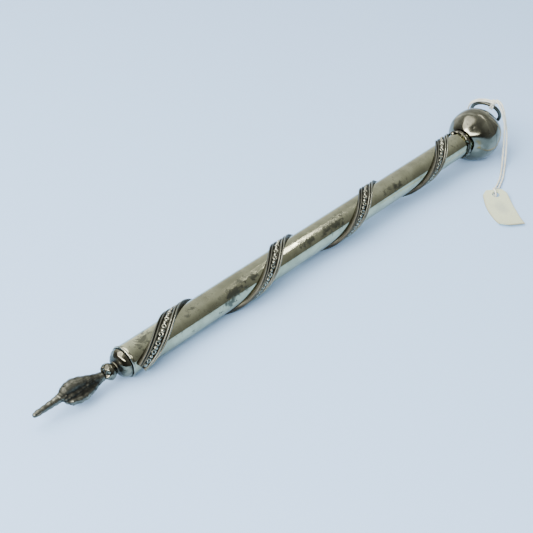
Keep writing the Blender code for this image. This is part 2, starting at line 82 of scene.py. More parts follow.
# ---------------------------------------------------------------- node helpers
class Graph:
    """A material's node tree with short ways to add and join nodes."""

    def __init__(self, name):
        self.material = bpy.data.materials.new(name)
        self.material.use_nodes = True
        self.tree = self.material.node_tree
        self.shader = self.tree.nodes["Principled BSDF"]
        self.place = self.node("ShaderNodeTexCoord").outputs["Object"]

    def node(self, kind, **settings):
        made = self.tree.nodes.new(kind)
        for key, value in settings.items():
            setattr(made, key, value)
        return made

    def link(self, source, target):
        self.tree.links.new(source, target)

    def put(self, socket, value):
        if hasattr(value, "is_output"):
            self.link(value, socket)
        else:
            socket.default_value = value

    def noise(self, scale, detail=3.0, roughness=0.55, stretch=None, distortion=0.0):
        made = self.node("ShaderNodeTexNoise")
        made.inputs["Scale"].default_value = scale
        made.inputs["Detail"].default_value = detail
        made.inputs["Roughness"].default_value = roughness
        made.inputs["Distortion"].default_value = distortion
        where = self.place
        if stretch:
            mapping = self.node("ShaderNodeMapping")
            mapping.inputs["Scale"].default_value = stretch
            self.link(self.place, mapping.inputs["Vector"])
            where = mapping.outputs["Vector"]
        self.link(where, made.inputs["Vector"])
        return made.outputs["Fac"]

    def ramp(self, value, low, high, start=0.0, end=1.0):
        made = self.node("ShaderNodeMapRange", interpolation_type="SMOOTHSTEP")
        for name, number in (("From Min", low), ("From Max", high), ("To Min", start), ("To Max", end)):
            made.inputs[name].default_value = number
        self.link(value, made.inputs["Value"])
        return made.outputs["Result"]

    def math(self, operation, a, b):
        made = self.node("ShaderNodeMath", operation=operation)
        self.put(made.inputs[0], a)
        self.put(made.inputs[1], b)
        return made.outputs[0]

    def mix(self, share, a, b):
        made = self.node("ShaderNodeMix", data_type="RGBA")
        self.put(made.inputs["Factor"], share)
        for socket, value in ((made.inputs[6], a), (made.inputs[7], b)):
            self.put(socket, (*value, 1) if isinstance(value, tuple) else value)
        return made.outputs[2]

    def attribute(self, name):
        return self.node("ShaderNodeAttribute", attribute_name=name).outputs["Fac"]

    def bump(self, height, strength, distance, normal=None):
        made = self.node("ShaderNodeBump")
        made.inputs["Strength"].default_value = strength
        made.inputs["Distance"].default_value = distance
        self.link(height, made.inputs["Height"])
        if normal is not None:
            self.link(normal, made.inputs["Normal"])
        return made.outputs["Normal"]


def silver(name, bright, tarnish, dark, spread, spots, rough, cloud_scale=140, crown=None,
           spot=None):
    """Tarnished silver: a warm bright metal under a cloudy film with dark specks in it. crown
    names a vertex attribute that is 0 in grooves and hollows, which go dark with tarnish and
    painted shade, and 1 on the high places; spot names one that is 1 where a dark stain lies."""
    g = Graph(name)
    film = g.ramp(g.noise(cloud_scale, 4.0, 0.6), 0.5 - spread, 0.5 + spread)
    colour = g.mix(film, bright, tarnish)
    fine = g.noise(900, 3.0, 0.65)
    patch = g.noise(170, 2.0, 0.5, distortion=0.6)
    speck = g.math("MULTIPLY", g.ramp(fine, 0.52, 0.70), g.ramp(patch, 0.60 - spots, 0.72 - spots))
    if spot:
        ragged = g.ramp(g.noise(620, 5.0, 0.75), 0.3, 0.7, -0.62, 0.45)
        edge = g.math("ADD", g.attribute(spot), ragged)
        speck = g.math("MAXIMUM", speck, g.ramp(edge, 0.22, 0.60, 0.0, 0.85))
    colour = g.mix(speck, colour, dark)
    roughness = g.math("ADD", g.ramp(film, 0, 1, rough, rough + 0.08), g.math("MULTIPLY", speck, 0.3))
    # Where crown is low the colour goes dark and rougher: tarnish in hollows, and painted shade in
    # grooves, folds and the band's shaded flank.
    if crown:
        clean_and_lit_share = g.ramp(g.attribute(crown), 0.0, 1.0)
        tarnish_and_shade_mask = g.math("MULTIPLY", clean_and_lit_share, g.ramp(g.noise(700, 3.0), 0.25, 0.6, 0.75, 1.0))
        colour = g.mix(tarnish_and_shade_mask, dark, colour)
        roughness = g.math("ADD", roughness, g.ramp(clean_and_lit_share, 0, 1, 0.25, 0.0))
    g.link(colour, g.shader.inputs["Base Color"])
    g.link(roughness, g.shader.inputs["Roughness"])
    g.shader.inputs["Metallic"].default_value = 1.0
    hammer = g.bump(g.noise(160, 2.0), 0.2, 0.0001)
    scratches = g.noise(2600, 2.0, 0.7, stretch=(0.12, 1.0, 1.0))
    g.link(g.bump(scratches, 0.08, 0.00005, hammer), g.shader.inputs["Normal"])
    return g.material


# ---------------------------------------------------------------- shape helpers
def add_piece(name, bm, mat, body, nodes, matrix=ON_AXIS, sharp=40):
    """Turns a bmesh into a piece in the row frame that rides on a body and replaces nodes."""
    bmesh.ops.recalc_face_normals(bm, faces=bm.faces)
    mesh = bpy.data.meshes.new(name)
    bm.to_mesh(mesh)
    bm.free()
    mesh.transform(matrix)
    return place_mesh(name, mesh, mat, body, nodes, sharp)


def place_mesh(name, mesh, mat, body, nodes, sharp=40):
    mesh.materials.clear()
    mesh.materials.append(mat)
    mesh.shade_smooth()
    mesh.set_sharp_from_angle(angle=radians(sharp))
    piece = bpy.data.objects.new(name, mesh)
    bpy.context.scene.collection.objects.link(piece)
    if body:
        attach(piece, body)
    if nodes:
        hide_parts(*nodes)
    return piece


def bridge(bm, rings, closed=False):
    pairs = list(zip(rings, rings[1:]))
    if closed:
        pairs.append((rings[-1], rings[0]))
    for ring, following in pairs:
        for i in range(len(ring)):
            j = (i + 1) % len(ring)
            bm.faces.new((ring[i], ring[j], following[j], following[i]))


def arc(centre, radius_u, radius_r, start, end, count):
    angles = [radians(start + (end - start) * k / count) for k in range(count + 1)]
    return [(centre[0] + radius_u * cos(a), centre[1] + radius_r * sin(a)) for a in angles]


def turned(profile, segments=112, dents=0.0, wave=2.5, seed=0.0, tarnish_and_shade_mask=()):
    """A closed outline of (station, radius) turned round the axis, in mm, with slight dents. A
    dent scales the whole vertex, its station too, so it also moves the surface along the axis,
    and further the further it is from the tube's front. The last argument lists (station, reach)
    of dark grooves, tarnish with painted shade between parts, which become the crown attribute."""
    bm = bmesh.new()
    layer = bm.verts.layers.float.new("crown")
    rings = []
    for station, radius in profile:
        crown = min([1.0] + [abs(station - place) / reach for place, reach in tarnish_and_shade_mask])
        ring = []
        for k in range(segments):
            angle = 2 * pi * k / segments
            where = Vector((station, radius * cos(angle), radius * sin(angle)))
            dent = dents * noise.noise(where / wave + Vector((seed, seed, seed)))
            vertex = bm.verts.new(where * (1 + dent / max(radius, 1e-3)))
            vertex[layer] = crown
            ring.append(vertex)
        rings.append(ring)
    bridge(bm, rings, closed=True)
    return bm


def sweep(bm, points, radius, sides, closed=False, twist=0.0, ply=0.0):
    """A round tube along points. With ply it has a two-strand twisted section, turned by twist
    radians from point to point."""
    count = len(points)
    normal = None
    rings = []
    for i in range(count):
        before = points[(i - 1) % count] if closed or i > 0 else points[i]
        after = points[(i + 1) % count] if closed or i < count - 1 else points[i]
        run = (after - before).normalized()
        if normal is None:
            normal = run.orthogonal().normalized()
        normal = (normal - run * normal.dot(run)).normalized()
        other = run.cross(normal)
        ring = []
        for k in range(sides):
            angle = 2 * pi * k / sides
            reach = radius * (1 - ply * (0.5 - 0.5 * cos(2 * (angle - twist * i))))
            ring.append(bm.verts.new(points[i] + reach * (cos(angle) * normal + sin(angle) * other)))
        rings.append(ring)
    bridge(bm, rings, closed=closed)
    if not closed:
        bm.faces.new(rings[0])
        bm.faces.new(rings[-1])


def smooth_line(points, spacing):
    """Points a fixed distance apart on a Catmull-Rom curve through the given ones."""
    ends = [2 * points[0] - points[1], *points, 2 * points[-1] - points[-2]]
    dense = []
    for a, b, c, d in zip(ends, ends[1:], ends[2:], ends[3:]):
        for k in range(24):
            t = k / 24
            dense.append(0.5 * (
                2 * b + (c - a) * t + (2 * a - 5 * b + 4 * c - d) * t**2
                + (3 * b - a - 3 * c + d) * t**3
            ))
    dense.append(points[-1])
    total = sum((b - a).length for a, b in zip(dense, dense[1:]))
    count = round(total / spacing)
    line, walked, k = [dense[0]], 0.0, 0
    for i in range(1, count):
        goal = total * i / count
        while walked + (dense[k + 1] - dense[k]).length < goal:
            walked += (dense[k + 1] - dense[k]).length
            k += 1
        step = (dense[k + 1] - dense[k]).length
        line.append(dense[k].lerp(dense[k + 1], (goal - walked) / step))
    line.append(dense[-1])
    return line


def set_attribute(mesh, name, values):
    layer = mesh.attributes.new(name, "FLOAT", "POINT")
    layer.data.foreach_set("value", np.asarray(values, np.float32))


# ---------------------------------------------------------------- materials
WARM = (0.405, 0.41, 0.28)
OLIVE = (0.295, 0.297, 0.20)
# The dark colour of specks and of the crown's dark places: tarnish, and painted shade where the crown
# is low.
TARNISH_AND_SHADE_COLOUR = (0.045, 0.044, 0.035)

tube_silver = silver("tube_silver", WARM, OLIVE, (0.055, 0.058, 0.046), 0.16, 0.03, 0.055,
                     spot="spot")
turned_silver = silver("turned_silver", (0.22, 0.21, 0.15), (0.085, 0.082, 0.06), TARNISH_AND_SHADE_COLOUR, 0.10, 0.22,
                       0.07, cloud_scale=420, crown="crown")
bead_silver = silver("bead_silver", (0.18, 0.175, 0.13), (0.075, 0.073, 0.056), TARNISH_AND_SHADE_COLOUR, 0.08, 0.2,
                     0.09, cloud_scale=420, crown="crown")
rim_silver = silver("rim_silver", (0.40, 0.395, 0.30), (0.22, 0.217, 0.165), TARNISH_AND_SHADE_COLOUR, 0.1, 0.0, 0.12)
ball_silver = silver("ball_silver", (0.21, 0.207, 0.157), (0.125, 0.123, 0.092), TARNISH_AND_SHADE_COLOUR, 0.10, 0.02,
                     0.11)
band_silver = silver("band_silver", (0.46, 0.462, 0.365), (0.28, 0.283, 0.225), TARNISH_AND_SHADE_COLOUR, 0.2, 0.0, 0.16,
                     crown="crown")
# Darker silver for the recessed pieces, the band's bed, the neck ring and the inner washer: dark
# tarnish with painted shade of the recesses.
groove_silver = silver("groove_silver", (0.14, 0.135, 0.10), TARNISH_AND_SHADE_COLOUR, (0.03, 0.03, 0.022), 0.2, 0.1,
                       0.4)
hand_silver = silver("hand_silver", (0.175, 0.175, 0.14), (0.105, 0.105, 0.085), (0.022, 0.022, 0.018),
                     0.12, 0.06, 0.27, cloud_scale=300, crown="crown")
ring_silver = silver("ring_silver", (0.16, 0.158, 0.128), (0.08, 0.08, 0.065), TARNISH_AND_SHADE_COLOUR, 0.16, 0.05, 0.28)


def make_paper_material():
    g = Graph("tag_card")
    fibre = g.noise(1800, 4.0, 0.7)
    stain = g.noise(130, 3.0, 0.6)
    colour = g.mix(g.ramp(fibre, 0.3, 0.7), (0.53, 0.585, 0.40), (0.60, 0.655, 0.47))
    colour = g.mix(g.ramp(stain, 0.55, 0.8, 0.0, 0.5), colour, (0.47, 0.50, 0.38))
    colour = g.mix(g.attribute("smudge"), colour, (0.34, 0.38, 0.33))
    # A tan band along the card's edges: painted shadow at the card's rim.
    colour = g.mix(g.attribute("rim"), colour, (0.42, 0.36, 0.22))
    g.link(colour, g.shader.inputs["Base Color"])
    g.shader.inputs["Roughness"].default_value = 0.85
    g.link(g.bump(fibre, 0.3, 0.00006), g.shader.inputs["Normal"])
    return g.material


def make_cotton_material():
    g = Graph("cotton_string")
    fibre = g.noise(4200, 4.0, 0.7)
    colour = g.mix(g.ramp(fibre, 0.3, 0.7), (0.60, 0.61, 0.52), (0.78, 0.79, 0.70))
    soil = g.noise(260, 2.0)
    colour = g.mix(g.ramp(soil, 0.45, 0.8, 0.0, 0.45), colour, (0.42, 0.41, 0.33))
    g.link(colour, g.shader.inputs["Base Color"])
    g.shader.inputs["Roughness"].default_value = 0.92
    g.shader.inputs["Sheen Weight"].default_value = 0.25
    g.link(g.bump(fibre, 0.5, 0.00008), g.shader.inputs["Normal"])
    return g.material


paper = make_paper_material()
cotton = make_cotton_material()

# ---------------------------------------------------------------- tube, cap and beads
TUBE_RADIUS = 5.0
BALL_STATION = 188.2
BALL_RADIUS = 10.6
TUBE_START, TUBE_END = 0.35, 181.5


# Stains on the tube: station, roll in degrees, half length, half width (mm), strength.
STAINS = (
    (7.0, 10, 2.4, 1.8, 0.95), (9.2, -12, 1.6, 1.8, 0.8), (4.8, 26, 1.4, 1.1, 0.85),
    (24.6, 30, 1.4, 0.8, 0.7), (27.0, 14, 1.6, 1.1, 0.85), (36.1, 92, 0.9, 0.7, 0.7),
    (41.2, 78, 3.0, 1.4, 1.0), (43.5, 49, 3.8, 1.7, 1.0), (48.2, 26, 2.6, 1.5, 0.8),
    (53.3, 37, 2.2, 1.3, 1.0), (60.5, 47, 1.8, 1.2, 0.7), (81.0, 42, 4.5, 1.5, 0.8),
    (94.0, 42, 6.0, 2.1, 1.0), (100.5, 20, 2.6, 1.4, 0.7), (129.0, 48, 6.0, 1.4, 0.75),
    (70.0, -40, 3.0, 1.5, 0.5), (118.0, -60, 3.5, 1.8, 0.6), (30.0, -110, 4.0, 2.0, 0.7),
    (150.0, 150, 5.0, 2.5, 0.7), (55.0, 170, 3.0, 2.0, 0.6),
)


def stain_at(station, roll):
    """How strongly the tube is stained at a station (mm) and roll (radians from +Z to -Y)."""
    strongest = 0.0
    for middle, degrees, half_length, half_width, strength in STAINS:
        along = (station - middle) / half_length
        turn = (roll - radians(degrees) + pi) % (2 * pi) - pi
        round_tube = turn * TUBE_RADIUS / half_width
        strongest = max(strongest, strength * exp(-(along**2 + round_tube**2)))
    return strongest


def make_tube():
    stations = np.linspace(TUBE_START + 0.15, TUBE_END - 0.15, 360)
    profile = [(TUBE_START, 4.5), (TUBE_START, 4.88)]
    profile += [(float(u), TUBE_RADIUS) for u in stations]
    profile += [(TUBE_END, 4.88), (TUBE_END, 4.5)]
    bm = turned(profile, 128, dents=0.012, wave=14.0, seed=3.1)
    layer = bm.verts.layers.float.new("spot")
    for vertex in bm.verts:
        u, y, z = vertex.co
        vertex[layer] = stain_at(u, np.arctan2(-y, z)) if u < 160 else 0.0
    add_piece("tube_shell", bm, tube_silver, "pointer", ["shaft_tube"])


def make_front_end():
    rim = turned(arc((-0.12, 5.06), 0.36, 0.34, 0, 360, 24)[:-1], 144, 0.006, 1.6, 1.3)
    add_piece("cap_rim", rim, rim_silver, "pointer", ["cap_rim_wire"])
    dome = [(-3.5, 1.2), (-3.5, 1.7), (-3.47, 1.85)] + arc((-0.7, 1.8), 2.7, 3.0, 176, 100, 22)
    dome += [(-0.95, 4.80), (-0.80, 4.80), (-0.62, 4.66), (-0.53, 4.5), (-0.53, 4.3)]
    dome += [(6.0, 4.3), (6.0, 3.8), (-0.8, 3.8)] + arc((-0.8, 1.8), 2.1, 2.0, 110, 175, 6)
    dome += [(-3.0, 1.2)]
    # The dome goes dark at its rim groove and at its neck: tarnish with painted shade between the
    # parts.
    bm = turned(dome, 128, 0.16, 1.5, 5.7, tarnish_and_shade_mask=((-0.5, 0.5), (-3.6, 1.3)))
    add_piece("cap_dome", bm, turned_silver, "pointer", ["front_cap"])
    bead = arc((-6.2, 0), 2.25, 2.8, 28, 152, 32)
    profile = [(bead[-1][0], 1.2)] + bead[::-1] + [(bead[0][0], 1.2)]
    # The bead goes dark at both ends: tarnish with painted shade where it meets its neighbours.
    bm = turned(profile, 112, 0.13, 1.2, 2.2, tarnish_and_shade_mask=((-8.3, 0.6), (-4.1, 0.7)))
    add_piece("round_bead", bm, bead_silver, "pointer", ["knob_bead"])
    edge = arc((-3.9, 1.8), 0.3, 0.3, 0, 180, 10)
    profile = [(-4.2, 1.2)] + edge[::-1] + [(-3.6, 1.2)]
    bm = turned(profile, 80, 0.03, 0.9, 4.4)
    add_piece("neck_ring", bm, groove_silver, "pointer", ["bead_collar"])
    bm = turned([(-0.6, 1.2), (-0.6, 3.0), (0.1, 3.0), (0.1, 1.2)], 48)
    add_piece("inner_washer", bm, groove_silver, "pointer", ["tang_washer"])


make_tube()
make_front_end()

# ---------------------------------------------------------------- the helical band
BAND_PITCH = 47.76
BAND_START, BAND_END = 2.3, 173.5
BAND_ROLL = radians(99.2)
BAND_EASE, BAND_EASE_RUN = 5.5, 25.0
BAND_FLOOR = 5.12
STRIP_THICK = 0.30
WIRE_BASE = 0.44
WIRE_WIDTH, WIRE_HEIGHT = 0.68, 0.80
ROW_WIDTH, ROW_HEIGHT = 1.70, 0.78
WIRE_GAP = 0.08
LEAD = sqrt(BAND_PITCH**2 + (2 * pi * TUBE_RADIUS) ** 2)
ACROSS_U = 2 * pi * TUBE_RADIUS / LEAD
ACROSS_ROLL = BAND_PITCH / LEAD / TUBE_RADIUS


def band_point(station, across, height):
    """As the CAD's: across is square to the band's run, height is from the band's floor."""
    run = station - BAND_START
    wound = run - BAND_EASE * (1 - exp(-run / BAND_EASE_RUN))
    roll = BAND_ROLL - 2 * pi * wound / BAND_PITCH + across * ACROSS_ROLL
    radius = BAND_FLOOR + height
    return Vector((station + across * ACROSS_U, -radius * sin(roll), radius * cos(roll)))


def band_axes(station):
    """Unit vectors along the band's run, across it and outwards, at its middle."""
    here = band_point(station, 0, 0.4)
    run = (band_point(station + 0.01, 0, 0.4) - here).normalized()
    out = Vector((0, here.y, here.z)).normalized()
    return run, out.cross(run).normalized(), out


def swept_band(name, section, crowns, mat, node, step=4.0):
    steps = round(360 * (BAND_END - BAND_START) / BAND_PITCH / step)
    bm = bmesh.new()
    layer = bm.verts.layers.float.new("crown")
    rings = []
    for k in range(steps + 1):
        station = BAND_START + (BAND_END - BAND_START) * k / steps
        ring = []
        for (across, height), crown in zip(section, crowns):
            wander = 0.03 * noise.noise(Vector((station / 4.0, across, height)))
            vertex = bm.verts.new(band_point(station, across + wander, height))
            vertex[layer] = crown
            ring.append(vertex)
        rings.append(ring)
    bridge(bm, rings)
    bm.faces.new(rings[0])
    bm.faces.new(rings[-1])
    add_piece(name, bm, mat, "pointer", [node], sharp=60)


def make_band():
    first = ROW_WIDTH / 2 + WIRE_GAP + WIRE_WIDTH / 2
    pitch = WIRE_WIDTH + WIRE_GAP
    half = first + pitch + WIRE_WIDTH / 2
    across = [half * (2 * k / 12 - 1) for k in range(13)]
    strip = [(a, 0) for a in across] + [(a, STRIP_THICK) for a in across[::-1]]
    swept_band("band_bed", strip, [0.0] * len(strip), groove_silver, "band_strip")
    wires = (("front_outer", -first - pitch), ("front_inner", -first),
             ("rear_inner", first), ("rear_outer", first + pitch))
    for label, middle in wires:
        angles = [radians(180 - 180 * k / 10) for k in range(11)]
        section = [(middle + WIRE_WIDTH / 2 * cos(a), WIRE_BASE + WIRE_HEIGHT * sin(a)) for a in angles]
        # The front wires get a lower share than the rear ones: painted shade for the band's flank that
        # shows a dark reflection. Each wire goes dark on its flanks and base, tarnish with painted
        # shade, and stays clear along its top.
        clean_and_lit_share = 0.34 if label.startswith("front") else 0.8
        crowns = [max(0.0, sin(a)) ** 3 * clean_and_lit_share for a in angles]
        swept_band(f"band_edge_{label}", section, crowns, band_silver, f"band_wire_{label}")


def make_bead_row():
    """Round pearls and small open scrolls in turn on a narrow bed, along the band's middle."""
    bm = bmesh.new()
    layer = bm.verts.layers.float.new("crown")
    length = (BAND_END - BAND_START) * sqrt(1 + (2 * pi * 5.6 / BAND_PITCH) ** 2)
    count = round(length / 1.62)
    top = WIRE_BASE + ROW_HEIGHT
    for k in range(count):
        share = (k + 0.5) / count
        station = BAND_START + 0.5 + (BAND_END - BAND_START - 1.0) * share
        run, side, out = band_axes(station)
        seed = noise.cell(Vector((k * 1.37, 4.2, 0.5)))
        centre = band_point(station, 0.12 * (seed - 0.5), WIRE_BASE)
        axes = Matrix((run, side, out)).transposed().to_4x4()
        start = len(bm.verts)
        if k % 2 == 0:
            size = Matrix.Diagonal((0.76, 0.72 + 0.12 * seed, 0.80, 1))
            bmesh.ops.create_icosphere(
                bm, subdivisions=3, radius=1, matrix=Matrix.Translation(centre) @ axes @ size
            )
        else:
            turn = axes @ Matrix.Rotation(radians(30 * (seed - 0.5)), 4, "Z")
            place = Matrix.Translation(centre + out * 0.40) @ turn
            ring_points = []
            for m in range(20):
                angle = 2 * pi * m / 20
                bend = 0.10 * cos(2 * angle)
                ring_points.append(place @ Vector((0.62 * cos(angle), 0.62 * sin(angle), bend)))
            sweep(bm, ring_points, 0.25, 10, closed=True)
        bm.verts.ensure_lookup_table()
        # Each pearl and scroll goes dark towards its base, tarnish with painted shade where it meets
        # the bed, and stays clear on top.
        for vertex in bm.verts[start:]:
            radius = Vector((0, vertex.co.y, vertex.co.z)).length - BAND_FLOOR
            vertex[layer] = max(0.0, min(1.0, (radius - WIRE_BASE) / (top - WIRE_BASE))) ** 1.3
    add_piece("band_pearls", bm, band_silver, "pointer", ["band_bead_row"], sharp=80)


make_band()
make_bead_row()

# ---------------------------------------------------------------- the far end
EYE_ROLL = radians(-30)
SMALL_GAP = 0.1
BUTTON_THICK = 1.1
EYE_LOOP, EYE_WIRE = 1.65, 0.5
BUTTON_FRONT = BALL_STATION + BALL_RADIUS + SMALL_GAP
HINGE_STATION = BUTTON_FRONT + BUTTON_THICK + SMALL_GAP + EYE_LOOP + EYE_WIRE
RING_RADIUS, RING_WIRE = 6.0, 0.75
RING_LEAN = radians(30.4494)


def rolled(vector, roll):
    along = Vector((cos(TILT), 0, sin(TILT)))
    across = along.cross(vector)
    inline = along * along.dot(vector)
    return inline + (vector - inline) * cos(roll) + across * sin(roll)


RING_OUTWARD = rolled(Vector((-sin(RING_LEAN), 0, cos(RING_LEAN))), EYE_ROLL)
RING_NORMAL = rolled(Vector((cos(RING_LEAN), 0, sin(RING_LEAN))), EYE_ROLL)
HINGE_AXIS = rolled(Vector((0, 1, 0)), EYE_ROLL)


def shell(start, end, count):
    inner = BALL_RADIUS - 0.6
    centre = (BALL_STATION, 0)
    return (arc(centre, BALL_RADIUS, BALL_RADIUS, start, end, count)
            + arc(centre, inner, inner, end, start, max(6, count // 3)))


def make_far_end():
    collar = arc((176.5, 5.3), 0.8, 0.7, 0, 180, 16)
    bm = turned([(175.7, 5.1)] + collar[::-1] + [(177.3, 5.1)], 112, 0.03, 1.5, 6.1)
    add_piece("ball_ferrule", bm, bead_silver, "pointer", ["ball_collar"])
    mouth = 180 - asin(5.3 / 10.0) * 180 / pi
    bm = turned(shell(mouth, 90.5, 30), 144, 0.03, 5.0, 1.9)
    add_piece("ball_near_shell", bm, ball_silver, "pointer", ["ball_front_half"])
    bm = turned(shell(89.5, asin(1.0 / 10.0) * 180 / pi, 40), 144, 0.03, 5.0, 1.9)
    add_piece("ball_far_shell", bm, ball_silver, "pointer", ["ball_rear_half"])
    front, back = BUTTON_FRONT, BUTTON_FRONT + BUTTON_THICK
    profile = [(front, 0.7), (front, 2.2), (front + 0.1, 2.42), (front + 0.3, 2.58),
               (front + 0.6, 2.58), (front + 0.75, 2.42), (back - 0.2, 2.0), (back - 0.05, 1.82),
               (back, 1.7), (back, 0.7)]
    add_piece("end_button", turned(profile, 80, 0.02, 1.0, 0.7), turned_silver, "pointer",
              ["finial_button"])
    bm = bmesh.new()
    loop = [Vector((HINGE_STATION + EYE_LOOP * cos(a), 0, EYE_LOOP * sin(a)))
            for a in (2 * pi * k / 48 for k in range(48))]
    sweep(bm, loop, EYE_WIRE, 20, closed=True)
    shank = [Vector((u, 0, 0)) for u in np.linspace(196.0, HINGE_STATION - EYE_LOOP, 8)]
    sweep(bm, shank, 0.49, 20)
    turn = ON_AXIS @ Matrix.Rotation(EYE_ROLL, 4, "X")
    add_piece("wire_eye", bm, ring_silver, "pointer", ["ring_eye"], matrix=turn)


def make_ring():
    centre = HINGE + RING_RADIUS * MM * RING_OUTWARD
    bm = bmesh.new()
    points = []
    for k in range(96):
        angle = 2 * pi * k / 96
        out = 1 + 0.004 * noise.noise(Vector((cos(angle), sin(angle), 3.3)))
        spoke = cos(angle) * RING_OUTWARD + sin(angle) * HINGE_AXIS
        points.append(centre + RING_RADIUS * MM * out * spoke)
    sweep(bm, points, RING_WIRE * MM, 24, closed=True)
    add_piece("swing_ring", bm, ring_silver, "ring", ["suspension_ring"],
              matrix=Matrix.Identity(4))


make_far_end()
make_ring()

# ---------------------------------------------------------------- knot, string and tag
KNOT_ROLL = radians(60)
STRING_RADIUS = 0.0004
STRAND_SPACING = 0.00115
TAG_HEADING = radians(-127)
TAG_HEAD = Vector((HINGE.x - 0.0340, HINGE.y - 0.0234, 0))
TAG_WIDTH, TAG_LENGTH, TAG_THICK = 0.0094, 0.0235, 0.00035
TAG_HOLE_RADIUS, TAG_HOLE_INSET = 0.0015, 0.0026
TAG_RAISED = 0.0019
TAG_LEAN, TAG_BULGE = 0.0009, 0.0013
ROUTE = (
    (-6.2, -5.1, 12.3), (-7.1, -7.7, 9.6), (-6.9, -9.2, 5.0), (-6.8, -10.0, 1.0),
    (-7.5, -10.9, -3.2), (-9.6, -12.5, -7.3), (-14.4, -15.4, -10.1), (-21.5, -19.2, -10.3),
    (-27.4, -21.6, -10.2), (-30.8, -22.9, -9.7),
)

along_tag = Vector((cos(TAG_HEADING), sin(TAG_HEADING), 0))
across_tag = Vector((-along_tag.y, along_tag.x, 0))
knot_out = cos(KNOT_ROLL) * RING_OUTWARD - sin(KNOT_ROLL) * HINGE_AXIS
ring_centre = HINGE + RING_RADIUS * MM * RING_OUTWARD
wire_point = ring_centre + RING_RADIUS * MM * knot_out
knot_middle = wire_point + 0.00245 * knot_out


def string_route():
    """The doubled string, from just short of the knot, through the tag's hole and back."""
    hole = TAG_HEAD + TAG_HOLE_INSET * along_tag
    middle = [knot_middle + 0.0018 * knot_out] + [HINGE + Vector(p) * MM for p in ROUTE]
    left, right = [], []
    for i, point in enumerate(middle):
        run = middle[min(i + 1, len(middle) - 1)] - middle[max(i - 1, 0)]
        side = Vector((1, 0, 0)) if i == 0 else Vector((-run.y, run.x, 0))
        side = side.normalized() * STRAND_SPACING / 2
        left.append(point + side)
        right.append(point - side)
    over = [hole + Vector((0, 0, 0.0027)) - 0.0027 * along_tag,
            hole + Vector((0, 0, 0.0025)) - 0.0008 * along_tag]
    inside = [hole + Vector((0, 0, 0.0014)) + 0.0003 * along_tag]
    under = [hole + Vector((0, 0, 0.00052)) - 0.0005 * along_tag,
             hole + Vector((0, 0, 0.00052)) - 0.0026 * along_tag]
    return left + over + inside + under + right[::-1]


def make_string():
    line = smooth_line(string_route(), 0.00036)
    bm = bmesh.new()
    sweep(bm, line, STRING_RADIUS * 1.04, 14, twist=0.34, ply=0.20)
    piece = add_piece("tie_string", bm, cotton, None, ["tag_string"],
                      matrix=Matrix.Identity(4), sharp=80)
    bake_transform(piece)
    return piece, smooth_line(string_route(), 0.0012)


KNOT_SCALE = 0.00034
WRAP_SPREAD = 0.0017
# The knot's two short ends: shift across the ring (m) and the roll where each stops (degrees).
TAIL_START = 58
TAILS = ((0.0, -62), (0.0009, -38))


def make_knot():
    """Two wraps round the ring's wire, an overhand knot and two short ends along the ring."""
    bm = bmesh.new()
    along_wire = knot_out.cross(RING_NORMAL)
    reach = RING_WIRE * MM + STRING_RADIUS + 0.00006
    wraps = []
    for k in range(73):
        angle = 2 * pi * k / 36 + pi
        drift = (k / 72 - 0.5) * WRAP_SPREAD
        wraps.append(wire_point + reach * (cos(angle) * knot_out + sin(angle) * RING_NORMAL)
                     + drift * along_wire)
    sweep(bm, wraps, STRING_RADIUS, 12, twist=0.3, ply=0.16)
    loop = []
    for k in range(60):
        t = 2 * pi * k / 60
        x = sin(t) + 2 * sin(2 * t)
        y = cos(t) - 2 * cos(2 * t)
        z = -sin(3 * t)
        bend = x * along_wire + y * RING_NORMAL * 0.9 + 1.5 * z * knot_out
        loop.append(knot_middle + KNOT_SCALE * bend)
    sweep(bm, loop, STRING_RADIUS, 12, closed=True, ply=0.12)
    for shift, far in TAILS:
        tail = []
        for k in range(40):
            roll = radians(TAIL_START + (far - TAIL_START) * k / 39)
            out = cos(roll) * RING_OUTWARD - sin(roll) * HINGE_AXIS
            lift = 0.00020 + 0.0009 * (1 - k / 39) ** 3
            tail.append(ring_centre + (RING_RADIUS * MM + reach + lift) * out
                        + (shift - 0.0004) * RING_NORMAL)
        sweep(bm, tail, STRING_RADIUS * 0.95, 12, twist=0.3, ply=0.16)
    return add_piece("string_hitch", bm, cotton, "ring", ["string_knot"],
                     matrix=Matrix.Identity(4), sharp=80)


def tag_height(along):
    share = along / TAG_LENGTH
    near = max(0.0, 1 - share / 0.55)
    far = max(0.0, (share - 0.7) / 0.3)
    return 0.00005 + TAG_RAISED * near**2 + 0.0009 * far**2


